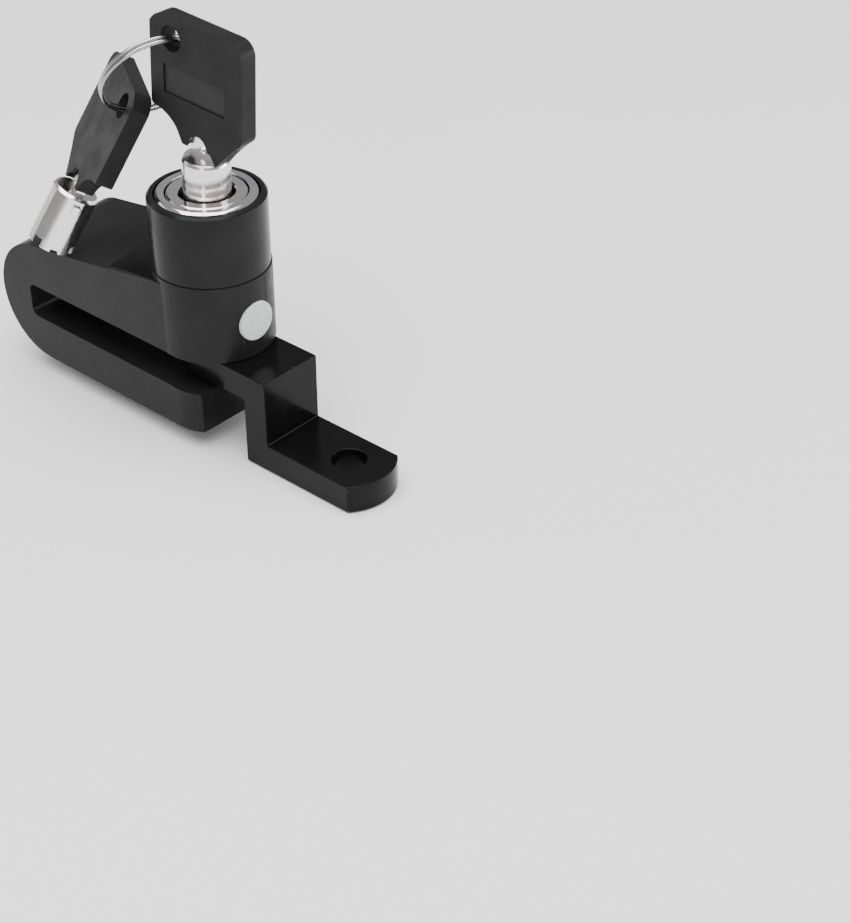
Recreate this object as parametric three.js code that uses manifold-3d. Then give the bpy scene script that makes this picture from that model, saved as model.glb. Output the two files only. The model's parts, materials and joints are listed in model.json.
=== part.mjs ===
// Motorcycle disc brake lock: U-shaped lock body with a push-down tubular-key cylinder, its parking bracket
// and two keys on a split ring. Millimetres, +Z up. Inside this file the lock is built about the cylinder's
// axis (x = y = 0) with z = 0 at the roof of the disc slot; the last group moves it to the bracket foot.

import * as THREE from "three";
import { mergeVertices } from "three/addons/utils/BufferGeometryUtils.js";
import Module from "manifold-3d";

const wasm = await Module();
wasm.setup();

// ---------------------------------------------------------------- driving dimensions
const FINE = 48; // sides of the large round pieces
const MEDIUM = 28; // sides of the key tubes and small rings
const SMALL = 12; // sides of the pins inside the cylinder
const SEAT_GAP = 0.15; // gap left between pieces that are pressed or screwed together
const RUNNING_GAP = 0.25; // radial gap where one piece slides or turns in another
const REST_GAP = 0.3; // gap under a piece that only rests on its neighbour
const STACK_GAP = 0.1; // gap between pieces stacked end to end

const body = {
  width: 23.6,
  bossProud: 0.2,
  bossTop: 16.7,
  slotHeight: 7.5,
  slotDepth: 44.6,
  slotCorner: 1.6,
  jawThickness: 9.1,
  jawEnd: 5.7,
  tailWall: 9.1,
  tailRadius: 13.3,
  creaseX: -18.6,
  creaseHeight: 13.0,
  shoulderHeight: 15.5,
  backRise: 2.4,
  pocketSlope: 0.85,
  pocketFloor: 8.4,
  webTop: 0.35,
  webDraft: 0.35,
  boreFloor: 3.0,
};
const key = {
  tubeRadius: 4.75,
  tubeBore: 3.55,
  insertDepth: 5.65,
  shoulder: 12.4,
  neckRadius: 3.3,
  neckTop: 14.8,
  tang: new THREE.Vector3(6.0, 1.8, 26.0),
  nib: { reach: 0.6, halfWidth: 0.8, bottom: 9.6, top: 11.4 },
  pinCuts: [0.5, 1.1, 1.7, 0.8, 2.0, 1.4, 0.6],
  headThickness: 3.6,
  left: -12.7,
  right: 11.8,
  top: 39.7,
  cheek: 20.3,
  hole: { x: -6.6, z: 35.3, radius: 2.6 },
  panel: { left: -9.0, right: 7.2, bottom: 23.9, top: 29.8, depth: 0.35 },
};
const pins = { count: 7, radius: 0.6, bore: 0.8, cutPlay: 0.35 };
const shell = { wall: 1.7, length: 20.75, lip: 1.3, faceDrop: 0.1, keyPlay: 0.75, pinRoom: 1.55 };
const seal = { depthBelowFace: 5.85, height: 1.3, depth: 0.9 };
const barrel = { height: 15.2, shankWall: 1.35, shankBottom: 4.0, chamfer: 0.5 };
const bezel = { rim: 1.5, depth: 2.4, proud: 0.25, chamfer: 0.6 };
const travel = { ledgeThickness: 0.8, ledgeReach: 1.4, gatePlay: 0.35 };
const cam = { thickness: 2.3, width: 3.2, hub: 3.6, wallPlay: 0.4 };
const core = { flangeDepth: 10.05, flange: 3.0, postPlay: 0.6, postDrop: 0.85, shaft: 2.0, spigot: 1.05 };
const stator = { rise: 1.6, plate: 0.6, driverLength: 2.4, crossPin: 0.7, crossPinRise: 3.3 };
const lockingPin = { radius: 2.75, tip: -12.6, chamfer: 0.8, socketDepth: 3.0 };
const pinHole = { jawDepth: 6.0, play: 0.25, tonguePlay: 0.35 };
const bush = { wall: 1.4, height: 2.8 };
const washer = { thickness: 0.3, overhang: 1.0 };
const returnSpring = { radius: 4.6, wire: 0.7, turns: 3.4 };
const retainer = { height: 7.5, radius: 1.9 };
const plug = { radius: 4.15, thickness: 1.35, proud: 0.25 };
const bracket = { width: 14.8, slotPlay: 1.5, legGap: 2.7, drop: 14.4, holeOffset: 15.3, holeRadius: 3.6 };
const foot = { endRadius: 10.6, endMargin: 9.3, datumOffset: 5.3 };

const keyLean = THREE.MathUtils.degToRad(3); // the inserted key sits a little slack in its keyway
const keyTipX = -0.14; // and its tip rests against the keyway's tail side
const spareAxis = new THREE.Vector3(0.292, 0.414, 0.862).normalize(); // tube axis of the hanging key
const spareSide = new THREE.Vector3(-0.849, 0.528, 0.034); // its head's width direction, before squaring up
const spareDrop = new THREE.Vector3(-12.31, -2.6, -17.32); // from the first key's ring hole to the spare's
const ring = { radius: 10.3, wire: 0.4, pitch: 0.9, turns: 1.9 };
const ringAxis = new THREE.Vector3(0.8, -0.295, -0.522).normalize();
const ringSag = new THREE.Vector3(-0.08, -0.27, -0.22); // from midway between the two holes to its centre

// ---------------------------------------------------------------- sizes that follow
const halfWidth = body.width / 2;
const bossRadius = halfWidth + body.bossProud;
const slotEnd = -body.slotDepth;
const jawTop = -body.slotHeight;
const jawBottom = jawTop - body.jawThickness;
const tailCentreX = slotEnd - body.tailWall + body.tailRadius;
const tailCentreZ = jawBottom + body.tailRadius;

const keyholeRadius = key.tubeRadius + shell.keyPlay;
const shellBore = key.tubeRadius + shell.pinRoom;
const shellRadius = shellBore + shell.wall;
const boreRadius = shellRadius + RUNNING_GAP;
const shankRadius = boreRadius + barrel.shankWall;
const barrelTop = body.bossTop + barrel.height;
const bezelOuter = halfWidth - bezel.rim;
const bezelTop = barrelTop + bezel.proud;
const bezelSeat = barrelTop - bezel.depth + bezel.proud;

const faceZ = bezelTop - shell.faceDrop; // the cylinder's face: its inner pieces hang below it
const shellBottom = faceZ - shell.length;
const ledgeTop = shellBottom - 4 * STACK_GAP;
const ledgeBottom = ledgeTop - travel.ledgeThickness;
const camTop = ledgeBottom - 3 * STACK_GAP;
const camBottom = camTop - cam.thickness;
const camReach = shellRadius - cam.wallPlay;
const pinTop = camBottom - 3 * STACK_GAP;
const flangeTop = faceZ - core.flangeDepth;
const flangeBottom = flangeTop - core.flange;
const statorTop = flangeBottom - STACK_GAP;
const statorBottom = shellBottom + stator.rise;
const crossPinZ = statorBottom + stator.crossPinRise;
const crossPinInner = shellBore - shell.pinRoom;
const pinCircle = (key.tubeRadius + key.tubeBore) / 2;
const partRadius = shellBore - SEAT_GAP;

const keyTip = new THREE.Vector3(keyTipX, 0, faceZ - key.insertDepth); // where the inserted key's tube ends
const pinRunning = lockingPin.radius + RUNNING_GAP;
const bushHole = pinRunning + bush.wall + SEAT_GAP;
const washerBottom = body.boreFloor + STACK_GAP / 2;
const springSeat = washerBottom + washer.thickness + 2 * STACK_GAP;

const plugOuter = bossRadius + plug.proud;
const plugInner = plugOuter - plug.thickness;
const plugSeat = plugInner - SEAT_GAP;
const retainerInner = boreRadius + 0.2;

const tongueThickness = body.slotHeight - bracket.slotPlay;
const tongueTop = -REST_GAP;
const tongueBottom = tongueTop - tongueThickness;
const footTop = tongueTop - bracket.drop;
const footBottom = footTop - tongueThickness;
const legInner = bossRadius + bracket.legGap;
const legOuter = legInner + tongueThickness;
const boltHoleX = legOuter + bracket.holeOffset;
const footEndX = boltHoleX + foot.endMargin;
const footDatumX = legOuter + foot.datumOffset; // the origin lies under the foot, between leg and bolt hole
const BEYOND = 20; // how far cutting shapes reach past what they cut

// ---------------------------------------------------------------- colours
const finishes = {
  blackPaint: { color: 0x26272a, roughness: 0.45, metalness: 0.3 },
  glossBlack: { color: 0x101113, roughness: 0.2, metalness: 0.4 },
  chrome: { color: 0xd9dadd, roughness: 0.12, metalness: 1.0 },
  steel: { color: 0x9c9ea2, roughness: 0.35, metalness: 0.9 },
  brass: { color: 0xb6924c, roughness: 0.35, metalness: 0.9 },
  keyPlastic: { color: 0x202124, roughness: 0.6, metalness: 0.0 },
  greyPlug: { color: 0xc4c5c7, roughness: 0.45, metalness: 0.1 },
  rubber: { color: 0x1a1a1a, roughness: 0.85, metalness: 0.0 },
};

// ---------------------------------------------------------------- solids
function toSolid(geometry) {
  geometry.deleteAttribute("normal");
  geometry.deleteAttribute("uv");
  const merged = mergeVertices(geometry, 1e-5);
  const mesh = new wasm.Mesh({
    numProp: 3,
    vertProperties: new Float32Array(merged.attributes.position.array),
    triVerts: new Uint32Array(merged.index.array),
  });
  return new wasm.Manifold(mesh);
}

function toGeometry(solid) {
  const mesh = solid.getMesh();
  const geometry = new THREE.BufferGeometry();
  geometry.setAttribute("position", new THREE.BufferAttribute(mesh.vertProperties, 3));
  geometry.setIndex(new THREE.BufferAttribute(mesh.triVerts, 1));
  geometry.computeVertexNormals();
  return geometry;
}

function block(x0, x1, y0, y1, z0, z1) {
  const geometry = new THREE.BoxGeometry(x1 - x0, y1 - y0, z1 - z0);
  geometry.translate((x0 + x1) / 2, (y0 + y1) / 2, (z0 + z1) / 2);
  return toSolid(geometry);
}

// A solid of revolution about Z from [radius, z] pairs that run once round its section.
function turned(profile, sides) {
  const points = profile.map(([r, z]) => new THREE.Vector2(r, z));
  if (profile[0][0] > 0) points.push(points[0].clone());
  const geometry = new THREE.LatheGeometry(points, sides);
  geometry.rotateX(Math.PI / 2);
  return toSolid(geometry);
}

function rod(radius, z0, z1, sides = SMALL) {
  return turned([[0, z0], [radius, z0], [radius, z1], [0, z1]], sides);
}

function tube(inner, outer, z0, z1, sides = FINE) {
  return turned([[inner, z0], [outer, z0], [outer, z1], [inner, z1]], sides);
}

// An outline drawn in X and Z, given its thickness along Y.
function slab(shape, y0, y1, curveSegments = 12) {
  const geometry = new THREE.ExtrudeGeometry(shape, { depth: y1 - y0, bevelEnabled: false, curveSegments });
  geometry.rotateX(Math.PI / 2);
  geometry.translate(0, y1, 0);
  return geometry;
}

function outline(points) {
  return new THREE.Shape(points.map(([x, z]) => new THREE.Vector2(x, z)));
}

// A rod lying along +X at height z.
function rodAlongX(radius, x0, x1, z, sides = MEDIUM) {
  const geometry = new THREE.CylinderGeometry(radius, radius, x1 - x0, sides);
  geometry.rotateZ(Math.PI / 2);
  geometry.translate((x0 + x1) / 2, 0, z);
  return toSolid(geometry);
}

// A rod along Y through (x, z), used for the holes in the key heads.
function rodAlongY(radius, x, z, halfLength, sides = MEDIUM) {
  const geometry = new THREE.CylinderGeometry(radius, radius, 2 * halfLength, sides);
  geometry.translate(x, 0, z);
  return toSolid(geometry);
}

class Helix extends THREE.Curve {
  constructor(radius, turns, pitch, base) {
    super();
    this.radius = radius;
    this.turns = turns;
    this.pitch = pitch;
    this.base = base;
  }

  getPoint(t, target = new THREE.Vector3()) {
    const angle = 2 * Math.PI * this.turns * t;
    const rise = this.base + this.pitch * this.turns * t;
    return target.set(this.radius * Math.cos(angle), this.radius * Math.sin(angle), rise);
  }
}

function coil(radius, wire, turns, pitch, base, stepsPerTurn, wireSides) {
  const section = new THREE.Shape();
  section.absarc(0, 0, wire, 0, 2 * Math.PI, false);
  return new THREE.ExtrudeGeometry(section, {
    steps: Math.round(turns * stepsPerTurn),
    curveSegments: wireSides,
    extrudePath: new Helix(radius, turns, pitch, base),
  });
}

// ---------------------------------------------------------------- lock body
// Height gained at a point of the tail's top, which climbs towards the back of the lock.
function backRise(y, z) {
  const share = THREE.MathUtils.clamp(z / body.creaseHeight, 0, 1);
  return (share * body.backRise * (y + halfWidth)) / body.width;
}

function raiseBack(geometry) {
  const position = geometry.attributes.position;
  for (let i = 0; i < position.count; i += 1) {
    const z = position.getZ(i);
    position.setZ(i, z + backRise(position.getY(i), z));
  }
  return geometry;
}

function tailOutline() {
  const shape = new THREE.Shape();
  const { tailRadius, creaseX, creaseHeight, shoulderHeight } = body;
  shape.moveTo(0, jawBottom);
  shape.lineTo(tailCentreX, jawBottom);
  shape.absarc(tailCentreX, tailCentreZ, tailRadius, -Math.PI / 2, -1.44 * Math.PI, true);
  shape.quadraticCurveTo(creaseX - 10, creaseHeight - 1.6, creaseX, creaseHeight);
  shape.quadraticCurveTo(creaseX / 2, shoulderHeight - 0.6, -2.6, shoulderHeight);
  shape.lineTo(0, shoulderHeight);
  shape.closePath();
  return shape;
}

// The hollow beside the barrel: a sloping end wall, a flat floor and thin drafted side webs.
function pocket() {
  const { creaseX, creaseHeight, pocketSlope, pocketFloor, webTop, webDraft, backRise: rise } = body;
  const above = 8;
  const run = (creaseHeight - pocketFloor) / pocketSlope;
  const side = outline([
    [creaseX - above / pocketSlope, creaseHeight + above],
    [creaseX + run, pocketFloor],
    [0, pocketFloor],
    [0, creaseHeight + above],
  ]);
  const rimHalf = halfWidth - webTop - webDraft * rise;
  const topHalf = rimHalf + webDraft * above;
  const floorHalf = rimHalf - webDraft * (creaseHeight - pocketFloor);
  const across = new THREE.Shape([
    new THREE.Vector2(-topHalf, creaseHeight + above),
    new THREE.Vector2(-floorHalf, pocketFloor),
    new THREE.Vector2(floorHalf, pocketFloor),
    new THREE.Vector2(topHalf, creaseHeight + above),
  ]);
  const length = 2 * BEYOND;
  const acrossGeometry = new THREE.ExtrudeGeometry(across, { depth: length, bevelEnabled: false });
  acrossGeometry.rotateX(Math.PI / 2);
  acrossGeometry.rotateZ(-Math.PI / 2);
  const alongX = toSolid(acrossGeometry);
  const toCylinderAxis = -alongX.boundingBox().max[0];
  return toSolid(raiseBack(slab(side, -BEYOND, BEYOND))).intersect(alongX.translate([toCylinderAxis, 0, 0]));
}

function slotCut() {
  const { slotCorner } = body;
  const shape = new THREE.Shape();
  shape.moveTo(BEYOND, jawTop);
  shape.lineTo(slotEnd + slotCorner, jawTop);
  shape.absarc(slotEnd + slotCorner, jawTop + slotCorner, slotCorner, -Math.PI / 2, -Math.PI, true);
  shape.absarc(slotEnd + slotCorner, -slotCorner, slotCorner, Math.PI, Math.PI / 2, true);
  shape.lineTo(BEYOND, 0);
  shape.closePath();
  return toSolid(slab(shape, -BEYOND, BEYOND, 6));
}

function lockBody() {
  const tail = toSolid(raiseBack(slab(tailOutline(), -halfWidth, halfWidth, 14)));
  const tailEndX = -bossRadius - 0.6; // the tail's top stays below the boss where it runs into it
  const aboveBoss = block(tailEndX, BEYOND, -BEYOND, BEYOND, body.bossTop - body.bossProud, 3 * BEYOND);
  const boss = rod(bossRadius, jawTop - 1, body.bossTop, FINE);
  const beyondJaw = block(body.jawEnd, 2 * BEYOND, -BEYOND, BEYOND, jawBottom - BEYOND, -0.5);
  const jaw = rod(halfWidth, jawBottom, jawTop + 0.5, FINE).subtract(beyondJaw);
  const shankBore = rod(shankRadius + SEAT_GAP, body.boreFloor, body.bossTop + BEYOND, FINE);
  const pinBore = rod(lockingPin.radius + pinHole.play, jawTop - pinHole.jawDepth, jawTop + 1, MEDIUM);
  return tail
    .subtract(pocket())
    .subtract(aboveBoss)
    .add(boss)
    .subtract(beyondJaw)
    .add(jaw)
    .subtract(slotCut())
    .subtract(shankBore)
    .subtract(rod(bushHole, -1, body.boreFloor + 1, MEDIUM))
    .subtract(pinBore)
    .subtract(rodAlongX(retainer.radius + SEAT_GAP, shankRadius - 1, plugOuter, retainer.height, MEDIUM))
    .subtract(rodAlongX(plug.radius + SEAT_GAP, plugSeat, BEYOND, retainer.height, MEDIUM));
}

// ---------------------------------------------------------------- bracket
// A flat bar: its tongue lies in the slot round the locking pin, its leg drops and its foot is bolted down.
function mountingBracket() {
  const half = bracket.width / 2;
  const tongueEnd = rod(half, tongueBottom, tongueTop, MEDIUM);
  const tongue = block(0, legOuter, -half, half, tongueBottom, tongueTop).add(tongueEnd);
  const leg = block(legInner, legOuter, -half, half, footBottom, tongueTop);
  const footBar = block(legInner, footEndX + 2, -half, half, footBottom, footTop);
  const arcX = footEndX - foot.endRadius;
  const roundEnd = rod(foot.endRadius, footBottom - 1, footTop + 1, 2 * FINE).translate([arcX, 0, 0]);
  const endShape = roundEnd.add(block(0, arcX, -BEYOND, BEYOND, footBottom - 1, footTop + 1));
  const pinEye = rod(lockingPin.radius + pinHole.tonguePlay, tongueBottom - 1, tongueTop + 1, MEDIUM);
  const boltHole = rod(bracket.holeRadius, footBottom - 1, footTop + 1, MEDIUM).translate([boltHoleX, 0, 0]);
  return tongue
    .add(leg)
    .add(footBar.intersect(endShape))
    .subtract(pinEye)
    .subtract(boltHole);
}

// ---------------------------------------------------------------- barrel and what is fixed in it
// A black skirt over a shank that sits in the body. Near its foot a ledge runs round inside, with one gate
// in it: the latch cam goes up through the gate when unlocked, and turns under the ledge to stay down.
function barrelSleeve() {
  const flange = body.bossTop + SEAT_GAP;
  const ledgeInner = camReach - travel.ledgeReach;
  const sleeve = turned([
    [boreRadius, barrel.shankBottom],
    [shankRadius, barrel.shankBottom],
    [shankRadius, flange],
    [halfWidth, flange],
    [halfWidth, barrelTop - barrel.chamfer],
    [halfWidth - barrel.chamfer, barrelTop],
    [bezelOuter + SEAT_GAP, barrelTop],
    [bezelOuter + SEAT_GAP, bezelSeat - SEAT_GAP],
    [boreRadius, bezelSeat - SEAT_GAP],
    [boreRadius, ledgeTop],
    [ledgeInner, ledgeTop],
    [ledgeInner, ledgeBottom],
    [boreRadius, ledgeBottom],
  ], FINE);
  const gateHalf = cam.width / 2 + travel.gatePlay;
  const gateSlot = block(0, boreRadius, -gateHalf, gateHalf, ledgeBottom - 0.5, ledgeTop + 0.5);
  const gate = gateSlot.intersect(rod(boreRadius, 0, barrelTop, FINE)).rotate([0, 0, 90]);
  const retainerHole = rodAlongX(retainer.radius + SEAT_GAP, ledgeInner, BEYOND, retainer.height, MEDIUM);
  return sleeve.subtract(gate).subtract(retainerHole);
}

function chromeBezel() {
  const softEdge = 0.2;
  return turned([
    [boreRadius, bezelSeat],
    [bezelOuter, bezelSeat],
    [bezelOuter, bezelTop - bezel.chamfer],
    [bezelOuter - bezel.chamfer, bezelTop],
    [boreRadius + softEdge, bezelTop],
    [boreRadius, bezelTop - softEdge],
  ], FINE);
}

// ---------------------------------------------------------------- moving cylinder
const grooveBottom = faceZ - seal.depthBelowFace;
const grooveTop = grooveBottom + seal.height;
const grooveRadius = shellRadius - seal.depth;

function cylinderShell() {
  const outerEdge = 0.3;
  const innerEdge = 0.35;
  const tubeWall = turned([
    [shellBore, shellBottom],
    [shellRadius, shellBottom],
    [shellRadius, grooveBottom],
    [grooveRadius, grooveBottom],
    [grooveRadius, grooveTop],
    [shellRadius, grooveTop],
    [shellRadius, faceZ - outerEdge],
    [shellRadius - outerEdge, faceZ],
    [keyholeRadius + innerEdge, faceZ],
    [keyholeRadius, faceZ - innerEdge],
    [keyholeRadius, faceZ - shell.lip],
    [shellBore, faceZ - shell.lip],
  ], FINE);
  return tubeWall.subtract(crossHole());
}

// Hole for the pin that stops the stator turning, through the shell and into the stator.
function crossHole() {
  return rodAlongX(stator.crossPin + SEAT_GAP, crossPinInner - SEAT_GAP, BEYOND, crossPinZ, SMALL);
}

function cylinderSeal() {
  const bottom = grooveBottom + SEAT_GAP;
  return tube(grooveRadius + 0.08, shellRadius + RUNNING_GAP / 2, bottom, grooveTop - SEAT_GAP, FINE);
}

function pinPlaces() {
  const step = (2 * Math.PI) / pins.count;
  return Array.from({ length: pins.count }, (_, i) => [
    pinCircle * Math.cos((i + 0.5) * step),
    pinCircle * Math.sin((i + 0.5) * step),
  ]);
}

function drillPins(solid, z0, z1) {
  const holes = pinPlaces().map(([x, y]) => rod(pins.bore, z0, z1).translate([x, y, 0]));
  return holes.reduce((rest, hole) => rest.subtract(hole), solid);
}

function statorBlock() {
  const blank = tube(core.shaft + RUNNING_GAP, partRadius, statorBottom, statorTop, MEDIUM);
  return drillPins(blank, statorBottom - 1, statorTop + 1).subtract(crossHole());
}

function backPlate() {
  const top = statorBottom - STACK_GAP;
  return tube(core.shaft + RUNNING_GAP, partRadius, top - stator.plate, top, MEDIUM);
}

function coreSpindle() {
  const post = key.tubeBore - core.postPlay;
  const postTop = faceZ - core.postDrop;
  const flangeRadius = partRadius - STACK_GAP;
  const spigotBottom = pinTop - lockingPin.socketDepth + 4 * STACK_GAP;
  const softEdge = 0.5;
  const spindle = turned([
    [0, spigotBottom],
    [core.spigot, spigotBottom],
    [core.spigot, pinTop + SEAT_GAP],
    [core.shaft, pinTop + SEAT_GAP],
    [core.shaft, flangeBottom],
    [flangeRadius, flangeBottom],
    [flangeRadius, flangeTop],
    [post, flangeTop],
    [post, postTop - softEdge],
    [post - softEdge, postTop],
    [0, postTop],
  ], MEDIUM);
  return drillPins(spindle, flangeBottom - 1, flangeTop + 1);
}

function latchCam() {
  const hub = rod(cam.hub, camBottom, camTop, MEDIUM);
  const lug = block(0, camReach, -cam.width / 2, cam.width / 2, camBottom, camTop);
  const blank = hub.add(lug.intersect(rod(camReach, camBottom - 1, camTop + 1, FINE)));
  return blank.subtract(rod(core.shaft + SEAT_GAP, camBottom - 1, camTop + 1, MEDIUM)).rotate([0, 0, 90]);
}

function pinBody() {
  const { radius, tip, chamfer, socketDepth } = lockingPin;
  const socket = core.spigot + SEAT_GAP;
  return turned([
    [0, tip],
    [radius - chamfer, tip],
    [radius, tip + chamfer],
    [radius, pinTop],
    [socket, pinTop],
    [socket, pinTop - socketDepth],
    [0, pinTop - socketDepth],
  ], MEDIUM);
}

function pinGuideBush() {
  return tube(pinRunning, pinRunning + bush.wall, STACK_GAP, STACK_GAP + bush.height, MEDIUM);
}

function springShape() {
  const { radius, wire, turns } = returnSpring;
  const room = camBottom - springSeat - 2 * wire - STACK_GAP;
  return coil(radius, wire / 2, turns, room / turns, springSeat + wire, 14, 3);
}

// ---------------------------------------------------------------- keys
// Height of the key's end cut over pin i, and so how far that pin stands up into it.
function cutDepth(i) {
  return key.pinCuts[i % key.pinCuts.length];
}

function keyBlade() {
  const { tubeRadius, tubeBore, shoulder, neckRadius, neckTop, tang, nib } = key;
  const softEdge = 0.2;
  const tubePart = turned([
    [tubeBore, softEdge],
    [tubeBore + softEdge, 0],
    [tubeRadius - softEdge, 0],
    [tubeRadius, softEdge],
    [tubeRadius, shoulder],
    [neckRadius, neckTop],
    [0, neckTop],
    [0, shoulder - 1],
    [tubeBore, shoulder - 1],
  ], MEDIUM);
  const tangBar = block(-tang.x / 2, tang.x / 2, -tang.y / 2, tang.y / 2, shoulder + 1, tang.z);
  const nibEnd = -tubeRadius - nib.reach;
  const nibBar = block(nibEnd, -tubeRadius + 0.5, -nib.halfWidth, nib.halfWidth, nib.bottom, nib.top);
  const cutHalf = pins.radius + pins.cutPlay;
  const step = 360 / pins.count;
  let blade = tubePart.add(tangBar).add(nibBar);
  for (let i = 0; i < pins.count; i += 1) {
    const cut = block(tubeBore / 2, tubeRadius + 2, -cutHalf, cutHalf, -1, cutDepth(i));
    blade = blade.subtract(cut.rotate([0, 0, (i + 0.5) * step]));
  }
  return blade;
}

// The head seen from the front: concave left cheek, notch for the neck, slanted right cheek, rounded top.
function headOutline() {
  const { left, right, top, cheek, shoulder } = key;
  const collar = shoulder + 2.2;
  const corner = 3;
  const shape = new THREE.Shape();
  shape.moveTo(left + 1, cheek);
  shape.lineTo(left + 2, cheek - 0.1);
  shape.quadraticCurveTo(-6.6, cheek - 1.2, -5.4, cheek - 4.2);
  shape.lineTo(-4.6, collar);
  shape.lineTo(-3.2, collar);
  shape.quadraticCurveTo(-2.6, collar + 2.8, 0, collar + 2.9);
  shape.quadraticCurveTo(2.2, collar + 2.6, 2.6, collar - 1.4);
  shape.lineTo(4.9, collar - 1.4);
  shape.quadraticCurveTo(7.6, cheek - 3.6, right - 0.6, cheek - 0.6);
  shape.quadraticCurveTo(right, cheek, right, cheek + 1.2);
  shape.lineTo(right + 0.2, top - corner);
  shape.absarc(right + 0.2 - corner, top - corner, corner, 0, Math.PI / 2, false);
  shape.lineTo(left + 4.0, top);
  shape.quadraticCurveTo(left + 1.8, top - 0.2, left + 0.4, top - 2.4);
  shape.lineTo(left, cheek + 1);
  shape.quadraticCurveTo(left, cheek, left + 1, cheek);
  return shape;
}

function keyHead() {
  const { headThickness, hole, panel, tubeRadius, neckRadius, neckTop, shoulder, tang } = key;
  const half = headThickness / 2;
  const gap = SEAT_GAP;
  const plate = toSolid(slab(headOutline(), -half, half, 8));
  const seat = turned([
    [0, -1],
    [tubeRadius + gap, -1],
    [tubeRadius + gap, shoulder + STACK_GAP],
    [neckRadius + gap, neckTop + gap],
    [0, neckTop + gap],
  ], MEDIUM);
  const slotX = tang.x / 2 + gap;
  const slotY = tang.y / 2 + gap;
  const tangSlot = block(-slotX, slotX, -slotY, slotY, shoulder - 2, tang.z + gap);
  const frontPanel = block(panel.left, panel.right, -half - 1, -half + panel.depth, panel.bottom, panel.top);
  return plate
    .subtract(seat)
    .subtract(tangSlot)
    .subtract(rodAlongY(hole.radius, hole.x, hole.z, headThickness))
    .subtract(frontPanel);
}

// ---------------------------------------------------------------- scene graph
function part(name, solidOrGeometry, finish) {
  const geometry = solidOrGeometry.isBufferGeometry ? solidOrGeometry : toGeometry(solidOrGeometry);
  const mesh = new THREE.Mesh(geometry, new THREE.MeshStandardMaterial(finishes[finish]));
  mesh.name = name;
  return mesh;
}

const lock = new THREE.Group();

lock.add(part("lock_body", lockBody(), "blackPaint"));
lock.add(part("mounting_bracket", mountingBracket(), "glossBlack"));
lock.add(part("barrel_sleeve", barrelSleeve(), "blackPaint"));
lock.add(part("chrome_bezel", chromeBezel(), "chrome"));
lock.add(part("cylinder_shell", cylinderShell(), "chrome"));
lock.add(part("cylinder_seal", cylinderSeal(), "rubber"));
lock.add(part("stator_block", statorBlock(), "brass"));
const crossPin = rodAlongX(stator.crossPin, crossPinInner, shellRadius - STACK_GAP, crossPinZ, SMALL);
lock.add(part("stator_pin", crossPin, "steel"));
lock.add(part("back_plate", backPlate(), "steel"));
lock.add(part("core_spindle", coreSpindle(), "brass"));
lock.add(part("latch_cam", latchCam(), "steel"));
lock.add(part("locking_pin", pinBody(), "steel"));
lock.add(part("pin_guide_bush", pinGuideBush(), "brass"));

const washerOuter = returnSpring.radius + washer.overhang;
const seatWasher = tube(pinRunning, washerOuter, washerBottom, washerBottom + washer.thickness, MEDIUM);
lock.add(part("spring_seat_washer", seatWasher, "steel"));
lock.add(part("return_spring", springShape(), "steel"));

const retainingPin = rodAlongX(retainer.radius, retainerInner, plugInner - 2 * STACK_GAP, retainer.height);
lock.add(part("retaining_pin", retainingPin, "steel"));
lock.add(part("pin_plug", rodAlongX(plug.radius, plugInner, plugOuter, retainer.height), "greyPlug"));

const driverTop = statorTop - STACK_GAP / 2;
const driverBottom = driverTop - stator.driverLength;
const pinSpring = { radius: 0.48, wire: 0.13, turns: 4, seat: 0.3, headroom: 0.7 };
const pinSpringRoom = driverBottom - statorBottom - pinSpring.headroom;

pinPlaces().forEach(([x, y], i) => {
  const number = i + 1;
  const keyPinTop = keyTip.z + cutDepth(i) - pins.cutPlay;
  const keyPin = rod(pins.radius, flangeBottom + 0.02, keyPinTop, 10).translate([x, y, 0]);
  const driver = rod(pins.radius, driverBottom, driverTop, 10).translate([x, y, 0]);
  const { radius, wire, turns, seat } = pinSpring;
  const spring = coil(radius, wire, turns, pinSpringRoom / turns, statorBottom + seat, 8, 2);
  spring.translate(x, y, 0);
  lock.add(part(`key_pin_${number}`, keyPin, "brass"));
  lock.add(part(`driver_pin_${number}`, driver, "steel"));
  lock.add(part(`pin_spring_${number}`, spring, "steel"));
});

// The inserted key leans by a few degrees; the spare hangs from the split ring and rests on the lock's tail.
const firstKey = new THREE.Group();
firstKey.position.copy(keyTip);
firstKey.rotation.y = keyLean;
firstKey.add(part("key_1_blade", keyBlade(), "chrome"));
firstKey.add(part("key_1_head", keyHead(), "keyPlastic"));
lock.add(firstKey);

const firstHole = new THREE.Vector3(key.hole.x, 0, key.hole.z).applyEuler(firstKey.rotation).add(keyTip);
const spareHole = firstHole.clone().add(spareDrop);
const spareDepth = new THREE.Vector3().crossVectors(spareAxis, spareSide).normalize();
const spareWidth = new THREE.Vector3().crossVectors(spareDepth, spareAxis);
const spareKey = new THREE.Group();
spareKey.setRotationFromMatrix(new THREE.Matrix4().makeBasis(spareWidth, spareDepth, spareAxis));
spareKey.position.copy(spareHole);
spareKey.position.addScaledVector(spareWidth, -key.hole.x);
spareKey.position.addScaledVector(spareAxis, -key.hole.z);
spareKey.add(part("key_2_blade", keyBlade(), "chrome"));
spareKey.add(part("key_2_head", keyHead(), "keyPlastic"));
lock.add(spareKey);

const ringCentre = firstHole.clone().add(spareHole).multiplyScalar(0.5).add(ringSag);
const ringUp = firstHole.clone().sub(spareHole).projectOnPlane(ringAxis).normalize();
const ringSide = new THREE.Vector3().crossVectors(ringUp, ringAxis);
const ringStart = (-ring.pitch * ring.turns) / 2;
const ringShape = coil(ring.radius, ring.wire, ring.turns, ring.pitch, ringStart, 28, 2);
const ringMesh = part("split_ring", ringShape, "steel");
ringMesh.setRotationFromMatrix(new THREE.Matrix4().makeBasis(ringSide, ringUp, ringAxis));
ringMesh.position.copy(ringCentre);
lock.add(ringMesh);

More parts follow.
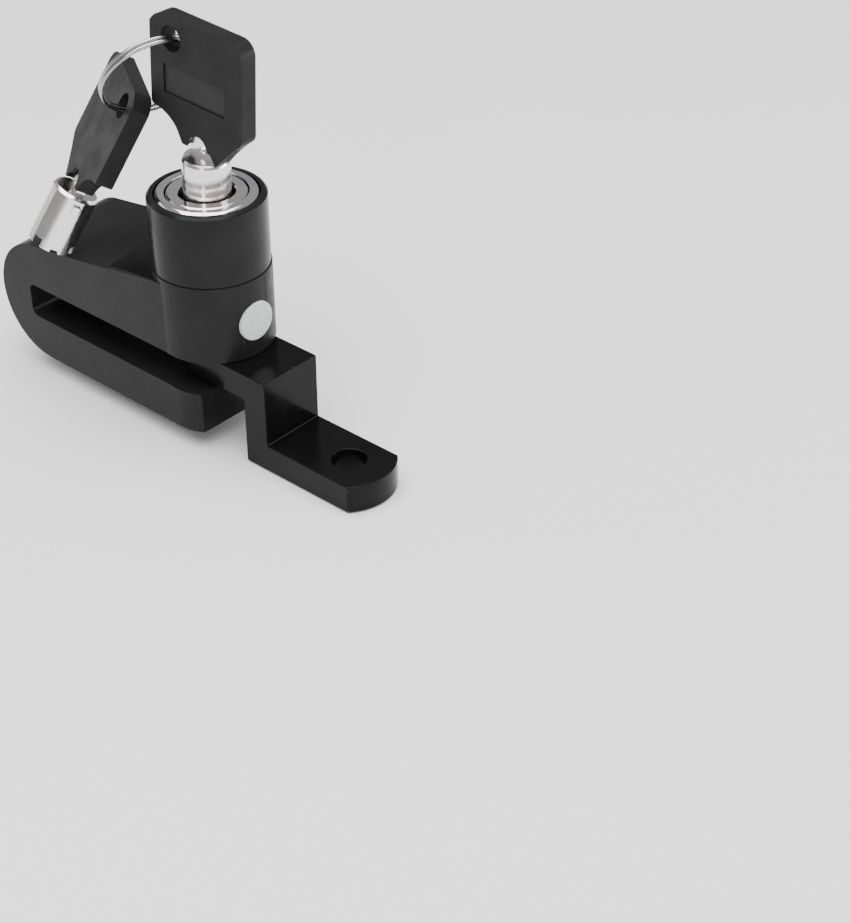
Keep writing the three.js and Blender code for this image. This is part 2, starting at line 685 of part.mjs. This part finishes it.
lock.position.set(-footDatumX, 0, -footBottom);
const assembly = new THREE.Group();
assembly.add(lock);

export default assembly;
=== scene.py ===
"""Motorcycle disc brake lock: materials, finished surfaces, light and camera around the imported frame."""

import json
import math

import bmesh
import bpy
from mathutils import Matrix, Vector

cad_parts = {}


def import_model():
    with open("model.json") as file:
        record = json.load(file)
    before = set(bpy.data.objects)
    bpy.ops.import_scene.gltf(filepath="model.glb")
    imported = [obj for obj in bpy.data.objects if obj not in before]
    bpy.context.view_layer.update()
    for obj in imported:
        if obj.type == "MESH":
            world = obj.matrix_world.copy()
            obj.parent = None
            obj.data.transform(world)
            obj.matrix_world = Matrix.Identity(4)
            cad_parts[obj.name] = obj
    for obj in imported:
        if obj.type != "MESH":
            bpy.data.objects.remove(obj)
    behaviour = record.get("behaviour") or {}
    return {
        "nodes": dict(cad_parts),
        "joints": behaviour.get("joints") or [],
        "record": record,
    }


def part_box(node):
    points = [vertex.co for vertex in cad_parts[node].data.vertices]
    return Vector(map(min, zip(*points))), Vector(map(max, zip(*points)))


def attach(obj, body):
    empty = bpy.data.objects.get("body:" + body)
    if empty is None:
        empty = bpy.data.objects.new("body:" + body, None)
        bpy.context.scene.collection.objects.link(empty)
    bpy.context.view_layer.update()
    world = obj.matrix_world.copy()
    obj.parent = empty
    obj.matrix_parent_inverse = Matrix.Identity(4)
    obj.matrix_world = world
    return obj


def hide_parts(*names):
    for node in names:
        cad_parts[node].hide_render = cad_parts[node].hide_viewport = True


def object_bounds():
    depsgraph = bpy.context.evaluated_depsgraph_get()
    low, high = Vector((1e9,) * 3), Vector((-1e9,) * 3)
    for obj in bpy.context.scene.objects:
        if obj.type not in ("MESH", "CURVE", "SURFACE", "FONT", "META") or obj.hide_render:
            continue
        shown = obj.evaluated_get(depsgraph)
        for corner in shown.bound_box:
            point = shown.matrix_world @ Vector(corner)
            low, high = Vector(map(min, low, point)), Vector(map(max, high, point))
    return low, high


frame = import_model()
cad_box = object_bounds()
nodes = frame["nodes"]
joints = {joint["name"]: joint for joint in frame["joints"]}
body_of_node = {n: b for b, members in frame["record"]["behaviour"]["bodies"].items() for n in members}
slot_of_node = {row["node"]: row["material_slot"] for row in frame["record"]["subparts"]}

MM = 0.001
WELD = 0.002 * MM  # corners closer than this are one corner
FLAT = math.radians(0.6)  # facets that turn by less than this are one flat face
EDGE = math.radians(28)  # an edge that turns by more than this gets a rounded nose
CREASE = math.radians(38)  # an edge that turns by more than this after that is shaded sharp
RUB = "rub"  # mesh attribute: 1 on the rounded noses of the edges, 0 elsewhere
PANEL = "panel"  # mesh attribute: 1 on the recessed label panels, 0 elsewhere

key_shoulder = 12.4 * MM  # from the key's tip to the shoulder of its tube
neck_rise = 2.4 * MM  # from the shoulder up to the neck's top, and that ring's radius
neck_reach = 3.3 * MM
neck_squared = 4.35 * MM  # the radius and drop that make the neck's cone a narrow chamfer
neck_drop = 1.75 * MM
tab_hole_rise = 2.2 * MM  # from the shoulder up to the hole in the tab
tab_hole_radius = 0.95 * MM
ring_wire = 0.4 * MM
ring_pitch = 0.9 * MM
ring_turns = 1.9

camera_place = Vector((0.22326, -0.22242, 0.22006))
camera_azimuth = math.radians(41.02)
camera_elevation = math.radians(34.89)
camera_lens = 74.4


# ---------------------------------------------------------------- node helpers
class Nodes:
    """A material's node tree, with short calls for the nodes that the finishes share."""

    def __init__(self, name):
        self.material = bpy.data.materials.new(name)
        self.material.use_nodes = True
        self.tree = self.material.node_tree
        self.tree.nodes.clear()
        self.out = self.add("ShaderNodeOutputMaterial")
        self.shader = self.add("ShaderNodeBsdfPrincipled")
        self.link(self.shader.outputs["BSDF"], self.out.inputs["Surface"])
        self.place = self.add("ShaderNodeTexCoord").outputs["Object"]

    def add(self, kind, **values):
        node = self.tree.nodes.new(kind)
        for key, value in values.items():
            setattr(node, key, value)
        return node

    def link(self, source, target):
        self.tree.links.new(source, target)

    def set(self, **values):
        names = {
            "metallic": "Metallic",
            "roughness": "Roughness",
            "specular": "Specular IOR Level",
            "coat": "Coat Weight",
            "coat_roughness": "Coat Roughness",
        }
        for key, value in values.items():
            self.shader.inputs[names[key]].default_value = value

    def noise(self, scale, detail=4.0, roughness=0.5, at=None):
        node = self.add("ShaderNodeTexNoise")
        node.inputs["Scale"].default_value = scale
        node.inputs["Detail"].default_value = detail
        node.inputs["Roughness"].default_value = roughness
        self.link(at or self.place, node.inputs["Vector"])
        return node.outputs["Fac"]

    def stretched(self, x, y, z):
        node = self.add("ShaderNodeMapping")
        node.inputs["Scale"].default_value = (x, y, z)
        self.link(self.place, node.inputs["Vector"])
        return node.outputs["Vector"]

    def ramp(self, source, stops):
        node = self.add("ShaderNodeValToRGB")
        elements = node.color_ramp.elements
        while len(elements) < len(stops):
            elements.new(0.5)
        for element, (place, value) in zip(elements, stops):
            element.position = place
            element.color = (value, value, value, 1) if isinstance(value, float) else (*value, 1)
        self.link(source, node.inputs["Fac"])
        return node.outputs["Color"]

    def span(self, source, low, high, source_low=0.3, source_high=0.7):
        node = self.add("ShaderNodeMapRange")
        node.inputs["From Min"].default_value = source_low
        node.inputs["From Max"].default_value = source_high
        node.inputs["To Min"].default_value = low
        node.inputs["To Max"].default_value = high
        self.link(source, node.inputs["Value"])
        return node.outputs["Result"]

    def math(self, operation, a, b):
        node = self.add("ShaderNodeMath", operation=operation)
        for socket, value in zip(node.inputs, (a, b)):
            if isinstance(value, float):
                socket.default_value = value
            else:
                self.link(value, socket)
        return node.outputs["Value"]

    def mix(self, factor, a, b):
        node = self.add("ShaderNodeMix", data_type="RGBA")
        self.link(factor, node.inputs[0])
        for socket, value in ((node.inputs[6], a), (node.inputs[7], b)):
            if isinstance(value, tuple):
                socket.default_value = (*value, 1)
            else:
                self.link(value, socket)
        return node.outputs[2]

    def bump(self, height, distance, strength=1.0, under=None):
        node = self.add("ShaderNodeBump")
        node.inputs["Distance"].default_value = distance
        node.inputs["Strength"].default_value = strength
        self.link(height, node.inputs["Height"])
        if under:
            self.link(under, node.inputs["Normal"])
        self.link(node.outputs["Normal"], self.shader.inputs["Normal"])
        return node.outputs["Normal"]

    def drive(self, name, source):
        self.link(source, self.shader.inputs[name])

    def chips(self, scale, start, end):
        """Speckles, 0 to 1, on the noses of the edges only."""
        rub = self.add("ShaderNodeAttribute", attribute_name=RUB).outputs["Fac"]
        speckle = self.span(self.noise(scale, 6, 0.7), 0.0, 1.0, start, end)
        return self.math("MULTIPLY", rub, speckle)


# ---------------------------------------------------------------- finishes
def satin_black(name, smoothest, dullest):
    """Powder coat: near-black, with a fine orange peel and a faintly cloudy sheen."""
    n = Nodes(name)
    n.set(specular=0.12)
    cloud = n.noise(90, 3)
    colour = n.ramp(cloud, [(0.3, (0.0085, 0.0085, 0.009)), (0.7, (0.0135, 0.0135, 0.014))])
    n.drive("Base Color", n.mix(n.chips(1400, 0.66, 0.8), colour, (0.08, 0.08, 0.083)))
    n.drive("Roughness", n.span(n.noise(420, 4), smoothest, dullest))
    peel = n.bump(n.noise(1500, 2), 0.012 * MM, 0.55)
    n.bump(n.noise(6500, 2), 0.004 * MM, 0.5, under=peel)
    return n.material


def gloss_black():
    """Gloss paint on cut steel bar: deep black, gently wavy, worn to bright specks along the edges."""
    n = Nodes("gloss_black")
    n.set(coat=0.06, coat_roughness=0.06, specular=0.09)
    chips = n.chips(1500, 0.63, 0.72)
    colour = n.ramp(n.noise(60, 3), [(0.3, (0.003, 0.003, 0.0033)), (0.7, (0.0055, 0.0055, 0.006))])
    n.drive("Base Color", n.mix(chips, colour, (0.55, 0.55, 0.56)))
    n.drive("Metallic", n.math("MULTIPLY", chips, 0.9))
    n.drive("Roughness", n.span(n.noise(260, 5, 0.6), 0.14, 0.27))
    wave = n.bump(n.noise(150, 2), 0.05 * MM, 0.35)
    n.bump(n.noise(2600, 3), 0.004 * MM, 0.5, under=wave)
    return n.material


def chrome(name, smoothest, dullest, turned_about=None):
    """Bright plate with a faint warm and violet painted reflection tint in its colour. turned_about is the
    axis of fine lathe rings.
    """
    n = Nodes(name)
    n.set(metallic=1.0)
    # painted reflection: faint warm and violet patches in the plate's colour stand in for pinkish reflections
    painted_reflection_tint = n.ramp(n.noise(75, 2), [
        (0.3, (0.74, 0.72, 0.79)), (0.5, (0.84, 0.83, 0.84)), (0.7, (0.86, 0.79, 0.77)),
    ])
    n.drive("Base Color", painted_reflection_tint)
    n.drive("Roughness", n.span(n.noise(500, 4), smoothest, dullest))
    if turned_about is None:
        n.bump(n.noise(420, 3), 0.006 * MM, 0.4)
        return n.material
    shift = n.add("ShaderNodeVectorMath", operation="SUBTRACT")
    shift.inputs[1].default_value = turned_about
    n.link(n.place, shift.inputs[0])
    flat = n.add("ShaderNodeVectorMath", operation="MULTIPLY")
    flat.inputs[1].default_value = (1, 1, 0)
    n.link(shift.outputs[0], flat.inputs[0])
    reach = n.add("ShaderNodeVectorMath", operation="LENGTH")
    n.link(flat.outputs[0], reach.inputs[0])
    rings = n.add("ShaderNodeTexNoise", noise_dimensions="1D")
    rings.inputs["Scale"].default_value = 9000
    rings.inputs["Detail"].default_value = 3
    n.link(reach.outputs["Value"], rings.inputs["W"])
    n.bump(rings.outputs["Fac"], 0.006 * MM, 0.5)
    return n.material


def metal(name, dark, light, rough, scratch_scale=700):
    """Plain machined metal, from dark to light, with short fine scratches."""
    n = Nodes(name)
    n.set(metallic=1.0)
    n.drive("Base Color", n.ramp(n.noise(120, 3), [(0.3, dark), (0.7, light)]))
    n.drive("Roughness", n.span(n.noise(scratch_scale, 5, 0.6), rough * 0.75, rough * 1.3))
    n.bump(n.noise(1.0, 3, at=n.stretched(4200, 4200, 500)), 0.004 * MM, 0.5)
    return n.material


def key_plastic():
    """Moulded nylon: dark grey, finely grained, a little polished where fingers hold it."""
    n = Nodes("key_plastic")
    n.set(specular=0.16)
    colour = n.ramp(n.noise(110, 3), [(0.3, (0.0075, 0.0075, 0.008)), (0.7, (0.011, 0.011, 0.0115))])
    worn = n.mix(n.chips(900, 0.5, 0.75), colour, (0.024, 0.024, 0.025))
    panel = n.add("ShaderNodeAttribute", attribute_name=PANEL).outputs["Fac"]
    n.drive("Base Color", n.mix(panel, worn, (0.02, 0.02, 0.021)))
    n.drive("Roughness", n.span(n.noise(180, 4), 0.42, 0.58))
    grain = n.bump(n.noise(5200, 3, 0.6), 0.014 * MM, 0.6)
    n.bump(n.noise(260, 2), 0.02 * MM, 0.25, under=grain)
    return n.material


def grey_plug():
    """Light grey moulded plug with a fine mottle."""
    n = Nodes("grey_plug")
    n.set(specular=0.45)
    mottle = n.noise(1300, 5, 0.7)
    n.drive("Base Color", n.ramp(mottle, [(0.32, (0.45, 0.46, 0.47)), (0.68, (0.62, 0.63, 0.64))]))
    n.drive("Roughness", n.span(n.noise(400, 4), 0.4, 0.58))
    n.bump(n.noise(2600, 4), 0.02 * MM, 0.5)
    return n.material


def seal_rubber():
    """Black seal rubber with a dull, dusty bloom."""
    n = Nodes("seal_rubber")
    n.drive("Base Color", n.ramp(n.noise(600, 4), [(0.35, (0.012, 0.012, 0.012)), (0.7, (0.03, 0.03, 0.03))]))
    n.drive("Roughness", n.span(n.noise(900, 4), 0.65, 0.85))
    n.bump(n.noise(3000, 3), 0.01 * MM, 0.5)
    return n.material


barrel_low, barrel_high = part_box("barrel_sleeve")
cylinder_axis = Vector(((barrel_low.x + barrel_high.x) / 2, (barrel_low.y + barrel_high.y) / 2, 0))

finishes = {
    "satin_black": satin_black("satin_black", 0.3, 0.42),
    "gloss_black": gloss_black(),
    "chrome": chrome("chrome", 0.05, 0.12),
    "spring_steel": metal("spring_steel", (0.3, 0.3, 0.31), (0.5, 0.5, 0.51), 0.2),
    "plain_steel": metal("plain_steel", (0.4, 0.4, 0.42), (0.56, 0.56, 0.58), 0.3),
    "brass": metal("brass", (0.55, 0.4, 0.17), (0.72, 0.55, 0.26), 0.28),
    "key_plastic": key_plastic(),
    "grey_plug": grey_plug(),
    "seal_rubber": seal_rubber(),
}
turned_chrome = chrome("turned_chrome", 0.07, 0.14, cylinder_axis)
key_chrome = chrome("key_chrome", 0.15, 0.24)
barrel_black = satin_black("barrel_black", 0.16, 0.24)


# ---------------------------------------------------------------- finished surfaces
def place_piece(obj, node, material):
    """Puts the piece on its node's body, in the node's material slot, and in its place on show."""
    bpy.context.scene.collection.objects.link(obj)
    obj.data.materials.clear()
    obj.data.materials.append(material)
    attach(obj, body_of_node[node])
    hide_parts(node)
    return obj


def height_and_reach(place, point, axis):
    """How far along the axis a place is, and how far out from it."""
    along = (place - point).dot(axis)
    return along, (place - point - along * axis).length


def round_out(bm, point, axis, cuts):
    """Splits the chords of the circles round an axis, and moves the new corners out to the circles."""
    same = 0.003 * MM
    smallest = 1.0 * MM
    longest_share = 0.3  # a longer edge than this share of the radius isn't a chord of the circle
    chords, circles = [], set()
    for edge in bm.edges:
        (h0, r0), (h1, r1) = (height_and_reach(v.co, point, axis) for v in edge.verts)
        level = abs(h0 - h1) < same and abs(r0 - r1) < same
        if level and r0 > smallest and edge.calc_length() < longest_share * r0:
            chords.append(edge)
            circles.add((h0, r0, r0 * math.sqrt(1 - (edge.calc_length() / 2 / r0) ** 2)))
    made = bmesh.ops.subdivide_edges(bm, edges=chords, cuts=cuts, use_grid_fill=True)
    for vert in {g for g in made["geom_inner"] if isinstance(g, bmesh.types.BMVert)}:
        height, reach = height_and_reach(vert.co, point, axis)
        for circle_height, radius, inner in circles:
            if abs(height - circle_height) < same and inner - same < reach < radius - same / 10:
                centre = point + height * axis
                vert.co = centre + (vert.co - centre) * (radius / reach)
                break


def key_axis(bm):
    """The tube's axis: the way that least of the blade's surface faces, through the ring at its shoulder."""
    axis_rounds = 400
    axis = Vector((0, 0, 1))
    for _ in range(axis_rounds):
        facing = sum((f.calc_area() * f.normal.dot(axis) * f.normal for f in bm.faces), Vector())
        total = sum(f.calc_area() for f in bm.faces)
        axis = (axis - facing / total).normalized()
    tip = min(vert.co.dot(axis) for vert in bm.verts)
    ring = [vert.co for vert in bm.verts if abs(vert.co.dot(axis) - tip - key_shoulder) < 0.05 * MM]
    return sum(ring, Vector()) / len(ring), axis


def drill(bm, place, axis, radius):
    """Cuts a round hole through the piece at place."""
    sides = 24
    reach = 3 * MM
    cutter = bmesh.new()
    turn = axis.to_track_quat("Z", "Y").to_matrix().to_4x4()
    bmesh.ops.create_cone(cutter, cap_ends=True, segments=sides, radius1=radius, radius2=radius,
                          depth=2 * reach, matrix=Matrix.Translation(place) @ turn)
    shapes = []
    for shape in (bm, cutter):
        mesh = bpy.data.meshes.new("drilled")
        shape.to_mesh(mesh)
        shapes.append(bpy.data.objects.new("drilled", mesh))
        bpy.context.scene.collection.objects.link(shapes[-1])
    cut = shapes[0].modifiers.new("hole", "BOOLEAN")
    cut.object = shapes[1]
    cut.operation = "DIFFERENCE"
    cut.solver = "EXACT"
    bpy.context.view_layer.update()
    evaluated = shapes[0].evaluated_get(bpy.context.evaluated_depsgraph_get())
    result = bpy.data.meshes.new_from_object(evaluated)
    bm.clear()
    bm.from_mesh(result)
    cutter.free()
    bpy.data.meshes.remove(result)
    for obj in shapes:
        mesh = obj.data
        bpy.data.objects.remove(obj)
        bpy.data.meshes.remove(mesh)


def square_neck(bm, across):
    """Turns the blade's cone into a nearly square shoulder, and drills the flat tab that stands on it."""
    point, axis = key_axis(bm)
    for vert in bm.verts:
        height, reach = height_and_reach(vert.co, point, axis)
        if abs(height - neck_rise) < 0.05 * MM:
            centre = point + height * axis
            spread = neck_squared / reach if abs(reach - neck_reach) < 0.05 * MM else 1.0
            vert.co = centre + (vert.co - centre) * spread - neck_drop * axis
    drill(bm, point + tab_hole_rise * axis, across, tab_hole_radius)


def mark_panels(bm, across, layer):
    """Marks the broad faces sunk below the two faces of a plate that is thin along across."""
    shallowest, deepest = 0.2 * MM, 0.6 * MM
    reach = [vert.co.dot(across) for vert in bm.verts]
    middle, half = (max(reach) + min(reach)) / 2, (max(reach) - min(reach)) / 2
    for face in bm.faces:
        flat_on = abs(face.normal.dot(across)) > 0.99
        depth = half - abs(face.calc_center_median().dot(across) - middle)
        if flat_on and shallowest < depth < deepest:
            for loop in face.loops:
                loop[layer] = 1.0


def finished(node, radius, segments=3, chosen=None, material=None, across=None, round_axis=None, cuts=2,
             reshape=None):
    """The node's shape with its circles made rounder and its sharp edges rounded to radius.

    chosen picks the edges to round, across is the normal of a plate with label panels, round_axis gives the
    axis of the circles, cuts says how finely they are split, and reshape alters the shape before the bevel.
    """
    bm = bmesh.new()
    bm.from_mesh(nodes[node].data)
    bmesh.ops.remove_doubles(bm, verts=bm.verts, dist=WELD)
    bmesh.ops.dissolve_limit(bm, angle_limit=FLAT, verts=bm.verts, edges=bm.edges)
    if round_axis:
        round_out(bm, *(round_axis(bm) if callable(round_axis) else round_axis), cuts)
    if reshape:
        reshape(bm, across)
    rub = bm.loops.layers.float.new(RUB)
    panel = bm.loops.layers.float.new(PANEL)
    sharp = [e for e in bm.edges if e.is_manifold and e.calc_face_angle() > EDGE]
    if chosen:
        sharp = [e for e in sharp if chosen((e.verts[0].co + e.verts[1].co) / 2)]
    noses = bmesh.ops.bevel(bm, geom=sharp, offset=radius, offset_type="OFFSET", segments=segments,
                            profile=0.5, affect="EDGES", clamp_overlap=True)
    for face in noses["faces"]:
        for loop in face.loops:
            loop[rub] = 1.0
    if across:
        mark_panels(bm, across, panel)
    mesh = bpy.data.meshes.new(node + "_finished")
    bm.to_mesh(mesh)
    bm.free()
    mesh.shade_smooth()
    mesh.set_sharp_from_angle(angle=CREASE)
    obj = bpy.data.objects.new(node + "_finished", mesh)
    place_piece(obj, node, material or finishes[slot_of_node[node]])
    weighted = obj.modifiers.new("flat_faces_stay_flat", "WEIGHTED_NORMAL")
    weighted.keep_sharp = True
    return obj


def split_ring():
    """Two close turns of round wire, on the circle that the ring's two hinges lie on."""
    top = Vector(joints["ring_swing"]["pos_m"])
    bottom = Vector(joints["key_2_swing"]["pos_m"])
    side = Vector(joints["ring_swing"]["axis"]).normalized()
    down = (bottom - top).normalized()
    axle = down.cross(side)
    centre = (top + bottom) / 2
    radius = (bottom - top).length / 2
    steps = 220
    end_width, end_growth = 0.55, 18  # the wire thins towards its two cut ends
    curve = bpy.data.curves.new("split_ring_wire", "CURVE")
    curve.dimensions = "3D"
    curve.bevel_depth = ring_wire
    curve.bevel_resolution = 6
    curve.use_fill_caps = True
    spline = curve.splines.new("POLY")
    spline.points.add(steps)
    for i, point in enumerate(spline.points):
        share = i / steps
        angle = 2 * math.pi * ring_turns * share
        rise = ring_pitch * ring_turns * (share - 0.5)
        place = centre + radius * (math.cos(angle) * side - math.sin(angle) * down) + rise * axle
        point.co = (*place, 1)
        point.radius = min(1.0, end_width + end_growth * min(share, 1 - share))
    obj = bpy.data.objects.new("split_ring_wire", curve)
    place_piece(obj, "split_ring", finishes["spring_steel"])
    return obj


body_low, body_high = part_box("lock_body")
edge_inset = 1.0 * MM
web_height = 10 * MM  # the thin webs beside the hollow: how far down, and how far in from the tail's end
web_start = 61 * MM
crest_x = -44.6 * MM  # where the top dips into the hollow, and the lowest that this crest gets
crest_lowest = 32 * MM


def outside_edges(middle):
    """The lock body's outside edges: those on its two flat sides, and the crest where its top dips."""
    on_side = abs(middle.y) > body_high.y - edge_inset
    thin_web = middle.z > body_high.z - web_height and middle.x > body_low.x + web_start
    crest = abs(middle.x - crest_x) < edge_inset and middle.z > crest_lowest
    return (on_side and not thin_web) or crest


upright = (cylinder_axis, Vector((0, 0, 1)))
plug_low, plug_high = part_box("pin_plug")
lying = ((plug_low + plug_high) / 2, Vector((1, 0, 0)))
finished("lock_body", 0.45 * MM, 3, outside_edges, round_axis=upright)
finished("mounting_bracket", 0.22 * MM, 2, round_axis=upright)
finished("barrel_sleeve", 0.4 * MM, 4, material=barrel_black, round_axis=upright)
finished("chrome_bezel", 0.2 * MM, 2, material=turned_chrome, round_axis=upright)
finished("cylinder_shell", 0.15 * MM, 2, material=turned_chrome, round_axis=upright)
finished("pin_plug", 0.35 * MM, 3, round_axis=lying, cuts=3)
finished("locking_pin", 0.2 * MM, 2, round_axis=upright, cuts=3)
plate_normals = {"key_1": Vector((0, 1, 0)), "key_2": Vector(joints["key_2_swing"]["axis"]).normalized()}
for key_name, across in plate_normals.items():
    finished(key_name + "_blade", 0.12 * MM, 2, material=key_chrome, round_axis=key_axis, cuts=3,
             across=across, reshape=square_neck)
    finished(key_name + "_head", 0.5 * MM, 4, across=across)
split_ring()

for name, node in nodes.items():
    if not node.hide_render:
        node.data.materials.clear()
        node.data.materials.append(finishes[slot_of_node[name]])


# ---------------------------------------------------------------- floor, light and camera
def floor():
    half = 3.0
    floor_drop = 0.3 * MM
    mesh = bpy.data.meshes.new("floor")
    corners = [(-half, -half, 0), (half, -half, 0), (half, half, 0), (-half, half, 0)]
    mesh.from_pydata(corners, [], [(0, 1, 2, 3)])
    obj = bpy.data.objects.new("floor", mesh)
    obj.location.z = -floor_drop
    bpy.context.scene.collection.objects.link(obj)
    n = Nodes("floor")
    n.set(roughness=0.85, specular=0.2)
    n.drive("Base Color", n.ramp(n.noise(3, 3), [(0.3, (0.86, 0.86, 0.86)), (0.7, (0.88, 0.88, 0.88))]))
    mesh.materials.append(n.material)


def area_light(name, place, target, width, height, watts, colour=(1, 1, 1)):
    data = bpy.data.lights.new(name, "AREA")
    data.shape = "RECTANGLE"
    data.size = width
    data.size_y = height
    data.energy = watts
    data.color = colour
    obj = bpy.data.objects.new(name, data)
    obj.location = place
    obj.rotation_euler = (Vector(target) - Vector(place)).to_track_quat("-Z", "Y").to_euler()
    bpy.context.scene.collection.objects.link(obj)


def world():
    made = bpy.data.worlds.new("studio")
    made.use_nodes = True
    background = made.node_tree.nodes["Background"]
    background.inputs["Color"].default_value = (1.0, 1.0, 1.0, 1)
    background.inputs["Strength"].default_value = 0.35
    bpy.context.scene.world = made


def camera():
    a, e = camera_azimuth, camera_elevation
    right = Vector((math.cos(a), math.sin(a), 0))
    up = Vector((-math.sin(a) * math.sin(e), math.cos(a) * math.sin(e), math.cos(e)))
    back = Vector((math.sin(a) * math.cos(e), -math.cos(a) * math.cos(e), math.sin(e)))
    data = bpy.data.cameras.new("camera")
    data.lens = camera_lens
    data.sensor_width = 36
    data.clip_start = 0.01
    obj = bpy.data.objects.new("camera", data)
    obj.matrix_world = Matrix.Translation(camera_place) @ Matrix((right, up, back)).transposed().to_4x4()
    bpy.context.scene.collection.objects.link(obj)
    bpy.context.scene.camera = obj


middle = (cad_box[0] + cad_box[1]) / 2
floor()
area_light("overhead", (0.02, -0.1, 0.75), middle, 1.0, 1.0, 16)
area_light("left_low", (-0.62, -0.16, 0.2), middle, 0.5, 0.35, 0.4)
area_light("right_back_low", (0.5, 0.42, 0.16), middle, 0.45, 0.25, 3.0)
area_light("front_strip", (0.3, -0.62, 0.3), middle, 0.1, 0.5, 0.8)
world()
camera()
